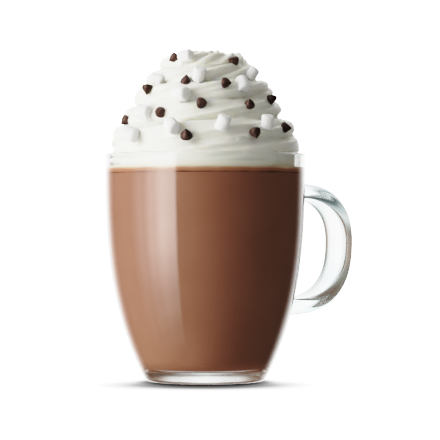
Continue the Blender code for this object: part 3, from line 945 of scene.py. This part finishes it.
def table_top(stage):
    """Matt white laminate, lit evenly by its own glow, with a painted soft shadow of a mug that is lit from
    behind and above.
    """
    made, tree, shader, place = new_material("matt_white_laminate")
    tree.nodes.remove(shader)
    middle = round_the_mug(0) * stage.shadow_shift
    spot = add_node(
        tree, "ShaderNodeMapping",
        {
            "Vector": place, "Location": tuple(middle), "Rotation": (0.0, 0.0, math.radians(FRONT_ANGLE)),
            "Scale": (stage.shadow_reach * SHADOW_DEPTH, stage.shadow_reach, 1.0),
        },
        vector_type="TEXTURE",
    )
    # 1 in the middle of the painted shadow and 0 at its edge
    depth = add_node(tree, "ShaderNodeTexGradient", {"Vector": spot}, gradient_type="SPHERICAL")
    ramp = add_node(tree, "ShaderNodeValToRGB", {"Fac": depth.outputs["Fac"]})
    set_stops(ramp, [(at, scaled(stage.floor_colour, level)) for at, level in SHADOW_LEVELS])
    # Painted contact shade: the last few millimetres before the foot are darker all round
    near = add_node(tree, "ShaderNodeAmbientOcclusion", {"Distance": CONTACT_REACH}, samples=16)
    contact_shade = add_node(tree, "ShaderNodeMapRange", {
        "Value": near.outputs["AO"], "From Min": 0.3, "From Max": 0.8, "To Min": 0.3,
    })
    painted_shade = add_node(tree, "ShaderNodeVectorMath", {0: ramp, "Scale": contact_shade}, operation="SCALE")
    glow = add_node(tree, "ShaderNodeEmission", {"Color": painted_shade, "Strength": FILM_WHITE})
    set_inputs(tree, tree.nodes["Material Output"], {"Surface": glow})
    return made


def make_floor(stage):
    form = bmesh.new()
    bmesh.ops.create_grid(form, x_segments=1, y_segments=1, size=TABLE_HALF_SIZE)
    floor = from_form("table_top", form)
    floor.location.z = -TABLE_DROP
    floor.data.materials.append(table_top(stage))
    hide_from(floor, "glossy", "diffuse", "transmission")


def make_key(stage):
    """The softbox as it lights matt surfaces. What gloss and glass see of it is in the world."""
    light = bpy.data.lights.new("key_softbox", "AREA")
    light.shape = "RECTANGLE"
    light.size, light.size_y = KEY_SIZE
    light.color = stage.key_colour
    light.energy = stage.key * math.pi * light.size * light.size_y
    box = add_object("key_softbox", light)
    direction = (to_the_left(KEY_ANGLE) + UP * KEY_RISE).normalized()
    box.location = direction * KEY_DISTANCE
    box.rotation_euler = direction.to_track_quat("Z", "Y").to_euler()
    hide_from(box, "camera", "glossy", "transmission")


def make_world(scene, stage):
    """White behind the mug, a tall softbox to its left and a dim room, each as one kind of ray sees it."""
    world = bpy.data.worlds.new("studio")
    world.cycles.sampling_method = "NONE"
    world.use_nodes = True
    tree = world.node_tree
    place = add_node(tree, "ShaderNodeTexCoord").outputs["Generated"]
    parts = {}
    for name, axis in (("up", UP), ("left", to_the_left(90)), ("front", to_the_left(0))):
        part = add_node(tree, "ShaderNodeVectorMath", {0: place, 1: tuple(axis)}, operation="DOT_PRODUCT")
        parts[name] = part.outputs["Value"]
    bearing = add_node(tree, "ShaderNodeMath", {0: parts["left"], 1: parts["front"]}, operation="ARCTAN2")
    white = stage.backdrop
    dimmed = white * 0.65
    lamp = stage.key_shine
    horizon, above, lit, shaded = (
        scaled(stage.fill_colour, level)
        for level in (stage.fill, stage.overhead, stage.table_lit, stage.table_shaded)
    )
    flag = scaled(stage.flag_colour, stage.flag)
    # Levels of light over degrees to the left of the camera
    round_ramps = {
        "softbox": ((31, 0), (36, 0.88 * lamp), (50, lamp), (63, 0.62 * lamp), (77, 0.25 * lamp), (98, 0)),
        "behind": ((-158, white), (-128, stage.surround), (128, stage.surround), (158, white)),
        "sides": (
            (-180, white), (-162, dimmed), (-140, WING_CARD), (-112, flag), (-44, flag), (-20, FRONT_CARD),
            (20, FRONT_CARD), (44, flag), (112, flag), (140, WING_CARD), (162, dimmed), (180, white),
        ),
        "lit table": ((-20, shaded), (60, lit), (150, lit), (180, shaded)),
    }
    # Levels of light over the sine of the height
    height_ramps = {
        "softbox height": ((-0.7, 0), (-0.58, 0.08), (-0.43, 0.26), (-0.08, 1), (0.75, 1), (0.95, 0)),
        "behind height": ((-0.7, 0.05), (-0.2, 1)),
        "horizon": (
            (-0.35, 0), (-0.09, (0.8, 0.9, 0.93)), (0.0, 0.95), (0.1, 0.95), (0.3, (0.66, 0.8, 0.84)),
            (0.7, 0.5),
        ),
        "table": (
            (-1.0, 0.12), (-0.75, (0.18, 0.22, 0.22)), (-0.5, (0.66, 0.74, 0.75)), (-0.35, (0.9, 0.96, 0.96)),
            (-0.08, 0),
        ),
        "ceiling": ((-0.1, 0), (0.15, horizon), (1.0, above)),
        "lower room": ((-0.1, 1), (0.1, 0)),
    }
    levels = {}
    for value, reach, span, ramps in (
        (bearing, math.pi, 360, round_ramps),
        (parts["up"], 1.0, 2, height_ramps),
    ):
        share = add_node(tree, "ShaderNodeMapRange", {"Value": value, "From Min": -reach, "From Max": reach})
        for name, stops in ramps.items():
            ramp = add_node(tree, "ShaderNodeValToRGB", {"Fac": share})
            ramp.color_ramp.interpolation = "EASE"
            set_stops(ramp, [(at / span + 0.5, level) for at, level in stops])
            levels[name] = ramp
    # The first two are multiplied and the third is added
    for name, factors in (
        ("backdrop", ("behind", "behind height")),
        ("mirrored", ("softbox", "softbox height", "backdrop")),
        ("through glass", ("sides", "horizon", "table")),
        ("room", ("lit table", "lower room", "ceiling")),
    ):
        inputs = {i: levels[factor] for i, factor in enumerate(factors)}
        levels[name] = add_node(tree, "ShaderNodeVectorMath", inputs, operation="MULTIPLY_ADD")
    path = add_node(tree, "ShaderNodeLightPath")
    light = levels["mirrored"]
    for ray, seen in (
        ("Is Transmission Ray", levels["through glass"]),
        ("Is Diffuse Ray", levels["room"]),
        ("Is Camera Ray", (FILM_WHITE,) * 3),
    ):
        mix = add_node(
            tree, "ShaderNodeMix", {"Factor": path.outputs[ray], "A": light, "B": seen}, data_type="VECTOR"
        )
        light = mix.outputs["Result"]
    set_inputs(tree, tree.nodes["Background"], {"Color": light})
    scene.world = world
    scene.cycles.glossy_bounces = 12  # light runs along inside the thick glass foot


def set_film(view):
    """A print with a deep toe, true middle tones and a soft shoulder up to a blown-out white."""
    view.view_transform = "Standard"
    view.use_curve_mapping = True
    view.curve_mapping.clip_max_x = FILM_WHITE
    curve = view.curve_mapping.curves[3]
    curve.points[-1].location = (FILM_WHITE, 1.0)
    for light, printed in FILM_CURVE:
        curve.points.new(light, printed)
    view.curve_mapping.update()


def make_camera(scene):
    data = bpy.data.cameras.new("camera")
    data.angle = 2 * math.atan(HALF_FRAME / CAMERA_DISTANCE)
    camera = add_object("camera", data)
    toward = round_the_mug(0)
    camera.location = toward * CAMERA_DISTANCE + UP.cross(toward) * CAMERA_ASIDE + UP * CAMERA_HEIGHT
    camera.rotation_euler = toward.to_track_quat("Z", "Y").to_euler()
    scene.camera = camera


# Operators


class MOCHA_OT_glass_mug(bpy.types.Operator):
    """Build the glass mug with its handle"""

    bl_idname = "mocha.glass_mug"
    bl_label = "Glass Mug"

    def execute(self, context):
        mug = context.scene.mocha_mug
        body = make_glass_mug(mug)
        finish_piece(body, pressed_glass(mug.tint), ["mug"], sharp=32)
        hide_from(body, "diffuse")  # light bounced off the drink passes through it unbent
        return {"FINISHED"}


class MOCHA_OT_drink(bpy.types.Operator):
    """Fill the mug with mocha and the band of melted cream on it"""

    bl_idname = "mocha.drink"
    bl_label = "Drink"

    def execute(self, context):
        mug = context.scene.mocha_mug
        drink = context.scene.mocha_drink
        fill = turned("mocha_fill", [(0, drink.level)] + hollow_profile(mug, drink.level, OVERLAP))
        finish_piece(fill, milky_mocha(drink.colour), ["drink"])
        reach = inner_radius(mug, drink.level) + OVERLAP
        top_reach = inner_radius(mug, drink.melt_level) + OVERLAP
        bottom = drink.level + CLEARANCE
        profile = [(0, drink.melt_level), (top_reach, drink.melt_level), (reach, bottom), (0, bottom)]
        finish = melted_cream(drink.colour, drink.melt_colour, drink.level, drink.melt_level)
        finish_piece(turned("melt_band", profile), finish, ["froth"])
        return {"FINISHED"}


class MOCHA_OT_cream(bpy.types.Operator):
    """Pipe the whipped cream"""

    bl_idname = "mocha.cream"
    bl_label = "Whipped Cream"

    def execute(self, context):
        cream = context.scene.mocha_cream
        swirl = make_cream(cream, context.scene.mocha_mug, context.scene.mocha_drink.melt_level)
        finish_piece(swirl, whipped_cream(cream.colour), ["cream"], sharp=180)
        return {"FINISHED"}


class MOCHA_OT_marshmallows(bpy.types.Operator):
    """Scatter the mini marshmallows"""

    bl_idname = "mocha.marshmallows"
    bl_label = "Marshmallows"

    def execute(self, context):
        toppings = context.scene.mocha_toppings
        piece = scattered(
            "mini_marshmallows", MARSHMALLOWS, marshmallow_form, toppings, random.Random(5), MARSHMALLOW_LIFT,
            MARSHMALLOW_EXTENT,
        )
        finish = marshmallow_foam(toppings.marshmallow_colour)
        finish_piece(piece, finish, MARSHMALLOWS, sharp=180)
        return {"FINISHED"}


class MOCHA_OT_chips(bpy.types.Operator):
    """Scatter the chocolate chips"""

    bl_idname = "mocha.chips"
    bl_label = "Chocolate Chips"

    def execute(self, context):
        toppings = context.scene.mocha_toppings
        piece = scattered(
            "chocolate_chips", CHIPS, chip_form, toppings, random.Random(9), CHIP_LIFT, CHIP_EXTENT,
            narrow_end=True,
        )
        finish_piece(piece, dark_chocolate(toppings.chip_colour), CHIPS, sharp=60)
        return {"FINISHED"}


class MOCHA_OT_stage(bpy.types.Operator):
    """Set the table top, the lights, the backdrop and the camera"""

    bl_idname = "mocha.stage"
    bl_label = "Stage"

    def execute(self, context):
        stage = context.scene.mocha_stage
        make_floor(stage)
        make_key(stage)
        make_world(context.scene, stage)
        make_camera(context.scene)
        set_film(context.scene.view_settings)
        return {"FINISHED"}


# Add-on


class MOCHA_PT_panel(bpy.types.Panel):
    """Settings and steps of the mocha"""

    bl_label = "Caffe Mocha"
    bl_idname = "MOCHA_PT_panel"
    bl_space_type = "VIEW_3D"
    bl_region_type = "UI"
    bl_category = "Mocha"

    def draw(self, context):
        for group, settings, operators in PANEL_GROUPS:
            box = self.layout.box()
            values = getattr(context.scene, group)
            for name in settings.__annotations__:
                box.prop(values, name)
            for operator in operators:
                box.operator(operator.bl_idname)


PANEL_GROUPS = (
    ("mocha_mug", MugSettings, (MOCHA_OT_glass_mug,)),
    ("mocha_drink", DrinkSettings, (MOCHA_OT_drink,)),
    ("mocha_cream", CreamSettings, (MOCHA_OT_cream,)),
    ("mocha_toppings", ToppingSettings, (MOCHA_OT_marshmallows, MOCHA_OT_chips)),
    ("mocha_stage", StageSettings, (MOCHA_OT_stage,)),
)


def register():
    for group, settings, operators in PANEL_GROUPS:
        bpy.utils.register_class(settings)
        setattr(bpy.types.Scene, group, bpy.props.PointerProperty(type=settings))
        for operator in operators:
            bpy.utils.register_class(operator)
    bpy.utils.register_class(MOCHA_PT_panel)


def unregister():
    bpy.utils.unregister_class(MOCHA_PT_panel)
    for group, settings, operators in reversed(PANEL_GROUPS):
        for operator in reversed(operators):
            bpy.utils.unregister_class(operator)
        delattr(bpy.types.Scene, group)
        bpy.utils.unregister_class(settings)


def main():
    register()
    bpy.ops.mocha.glass_mug()
    bpy.ops.mocha.drink()
    bpy.ops.mocha.cream()
    bpy.ops.mocha.marshmallows()
    bpy.ops.mocha.chips()
    bpy.ops.mocha.stage()


if __name__ == "__main__":
    main()
